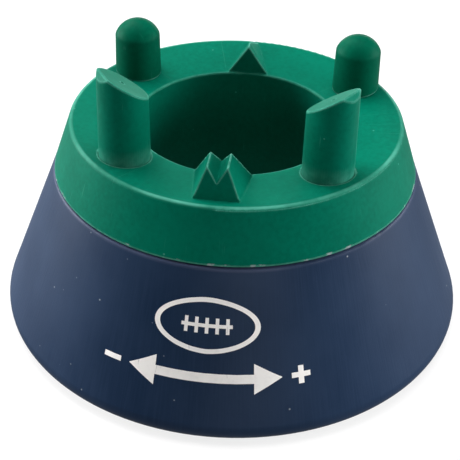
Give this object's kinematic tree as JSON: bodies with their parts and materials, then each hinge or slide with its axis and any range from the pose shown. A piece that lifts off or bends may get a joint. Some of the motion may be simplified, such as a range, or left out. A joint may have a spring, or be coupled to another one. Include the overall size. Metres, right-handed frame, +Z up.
{
  "type": "kicking tee",
  "caption": "Low conical kicking stand with a soft cap that twists up on a coarse thread; pegs, sights and an open well hold the end of an oval ball.",
  "frame": {"origin": "on the tee's axis, on the ground that it stands on", "axes": "+Z up along the axis of the well, -Y towards the kicker (the notch sight's side), +X to the kicker's right"},
  "size_m": [0.15, 0.15, 0.0951],
  "materials": {
    "navy_rubber": "matt",
    "green_rubber": "matt",
    "green_plastic": "satin",
    "black_nylon": "satin",
    "white_ink": "matt"
  },
  "bodies": {
    "base": {"base_cone": "navy_rubber", "thread_collar": "black_nylon"},
    "ring": {"stop_ring": "black_nylon"},
    "top": {"top_cap": "green_rubber", "thread_sleeve": "green_plastic", "tall_peg_left": "green_rubber", "tall_peg_right": "green_rubber", "dome_peg_left": "green_rubber", "dome_peg_right": "green_rubber"}
  },
  "joints": [
    {"name": "top_lift", "type": "slide", "parent": "base", "child": "ring", "axis": [0, 0, 1], "range_m": [0, 0.024]},
    {"name": "top_twist", "type": "hinge", "parent": "ring", "child": "top", "pos_m": [0, 0, 0.05], "axis": [0, 0, 1], "range_deg": [0, 320]}
  ],
  "couplings": [
    {"joint": "top_lift", "follows": "top_twist", "m_per_rad": 0.0042972}
  ]
}
